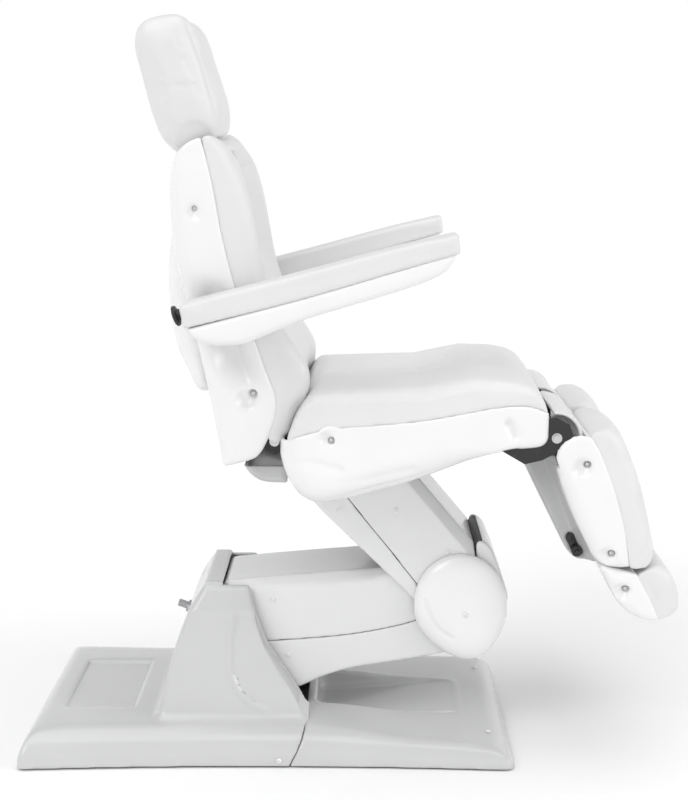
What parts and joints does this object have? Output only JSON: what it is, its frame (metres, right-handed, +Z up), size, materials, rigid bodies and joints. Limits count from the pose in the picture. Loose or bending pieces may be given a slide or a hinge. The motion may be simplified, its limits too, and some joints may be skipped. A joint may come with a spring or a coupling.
{
  "type": "electric treatment chair",
  "caption": "White electric podiatry treatment chair: folding two-arm lift on a floor base, tilting seat, reclining back, headrest, armrests and split sliding leg rests.",
  "frame": {"origin": "on the floor, below the middle of the chair's overall length and width", "axes": "+X the way the sitter faces, +Y the sitter's left, +Z up"},
  "size_m": [1.3124, 0.692, 1.477],
  "materials": {
    "upholstery": "smooth synthetic leather, faint grain",
    "white_cover": "satin-gloss moulded plastic",
    "white_paint": "semi-gloss powder coat",
    "grey_cover": "satin grey plastic",
    "black_metal": "satin black paint",
    "steel": "bright machined steel",
    "rubber": "matte rubber",
    "black_plastic": "fine-textured black plastic"
  },
  "bodies": {
    "base": {"base_frame": "black_metal", "levelling_feet": "rubber", "tower_frame": "black_metal", "lift_motor": "black_metal", "rear_cover": "white_cover", "front_cover": "white_cover", "inlet_connector": "steel", "base_screws": "steel"},
    "lower_arm": {"lower_arm_frame": "black_metal", "lower_arm_top_cover": "white_cover", "lower_arm_bottom_cover": "white_cover", "lower_arm_screws": "steel"},
    "upper_arm": {"upper_arm_frame": "black_metal", "upper_arm_front_cover": "white_cover", "upper_arm_rear_cover": "white_cover", "elbow_front_cover": "white_cover", "elbow_caps": "white_cover", "upper_arm_screws": "steel"},
    "seat_carriage": {"level_bracket": "black_metal", "tilt_motor": "black_metal"},
    "seat": {"seat_shell": "white_cover", "rear_under_cover": "grey_cover", "seat_cushion": "upholstery", "seat_frame": "black_metal", "seat_brackets": "black_metal", "seat_pivot_pins": "steel", "seat_screws": "steel"},
    "backrest": {"back_shell": "white_cover", "back_motor_cover": "white_cover", "back_cushion": "upholstery", "back_frame": "black_metal", "back_screws": "steel", "recline_motor": "black_metal"},
    "headrest": {"headrest_posts": "steel", "headrest_cushion": "upholstery"},
    "armrest_left": {"armrest_shell_left": "white_cover", "armrest_pad_left": "upholstery", "armrest_end_cap_left": "black_plastic"},
    "leg_left": {"leg_frame_left": "black_metal", "leg_shell_left": "white_cover", "leg_box_left": "grey_cover", "leg_cushion_left": "upholstery", "knee_cover_left": "upholstery"},
    "foot_left": {"foot_rails_left": "steel", "foot_shell_left": "white_cover", "foot_cushion_left": "upholstery"},
    "rail_lock_left": {"rail_lock_knob_left": "black_plastic"},
    "armrest_right": {"armrest_shell_right": "white_cover", "armrest_pad_right": "upholstery", "armrest_end_cap_right": "black_plastic"},
    "leg_right": {"leg_frame_right": "black_metal", "leg_shell_right": "white_cover", "leg_box_right": "grey_cover", "leg_cushion_right": "upholstery", "knee_cover_right": "upholstery"},
    "foot_right": {"foot_rails_right": "steel", "foot_shell_right": "white_cover", "foot_cushion_right": "upholstery"},
    "rail_lock_right": {"rail_lock_knob_right": "black_plastic"}
  },
  "joints": [
    {"name": "lift", "type": "hinge", "parent": "base", "child": "lower_arm", "pos_m": [-0.235, 0, 0.285], "axis": [0, -1, 0], "range_deg": [-9, 14]},
    {"name": "elbow", "type": "hinge", "parent": "lower_arm", "child": "upper_arm", "pos_m": [0.245, 0, 0.28], "axis": [0, -1, 0], "range_deg": [-28, 18]},
    {"name": "seat_level", "type": "hinge", "parent": "upper_arm", "child": "seat_carriage", "pos_m": [-0.002, 0, 0.575], "axis": [0, -1, 0], "range_deg": [-9, 14]},
    {"name": "seat_tilt", "type": "hinge", "parent": "seat_carriage", "child": "seat", "pos_m": [-0.002, 0, 0.575], "axis": [0, -1, 0], "range_deg": [-8, 14]},
    {"name": "recline", "type": "hinge", "parent": "seat", "child": "backrest", "pos_m": [-0.14, 0, 0.65], "axis": [0, -1, 0], "range_deg": [0, 68]},
    {"name": "headrest_height", "type": "slide", "parent": "backrest", "child": "headrest", "axis": [-0.2756, 0, 0.9613], "range_m": [0, 0.06]},
    {"name": "armrest_left", "type": "hinge", "parent": "backrest", "child": "armrest_left", "pos_m": [-0.212, 0.302, 0.886], "axis": [0, -1, 0], "range_deg": [-15, 80]},
    {"name": "leg_left", "type": "hinge", "parent": "seat", "child": "leg_left", "pos_m": [0.407, 0.15, 0.673], "axis": [0, -1, 0], "range_deg": [-5, 70]},
    {"name": "foot_left", "type": "slide", "parent": "leg_left", "child": "foot_left", "axis": [0.3714, 0, -0.9285], "range_m": [0, 0.1]},
    {"name": "rail_lock_left", "type": "hinge", "parent": "leg_left", "child": "rail_lock_left", "pos_m": [0.46047, 0.2, 0.4316], "axis": [0, 1, 0], "range_deg": [0, 90]},
    {"name": "armrest_right", "type": "hinge", "parent": "backrest", "child": "armrest_right", "pos_m": [-0.212, -0.302, 0.886], "axis": [0, -1, 0], "range_deg": [-15, 80]},
    {"name": "leg_right", "type": "hinge", "parent": "seat", "child": "leg_right", "pos_m": [0.407, -0.15, 0.673], "axis": [0, -1, 0], "range_deg": [-5, 70]},
    {"name": "foot_right", "type": "slide", "parent": "leg_right", "child": "foot_right", "axis": [0.3714, 0, -0.9285], "range_m": [0, 0.1]},
    {"name": "rail_lock_right", "type": "hinge", "parent": "leg_right", "child": "rail_lock_right", "pos_m": [0.46047, -0.2, 0.4316], "axis": [0, -1, 0], "range_deg": [0, 90]}
  ],
  "couplings": [
    {"joint": "elbow", "follows": "lift", "ratio": -2},
    {"joint": "seat_level", "follows": "lift", "ratio": 1}
  ]
}
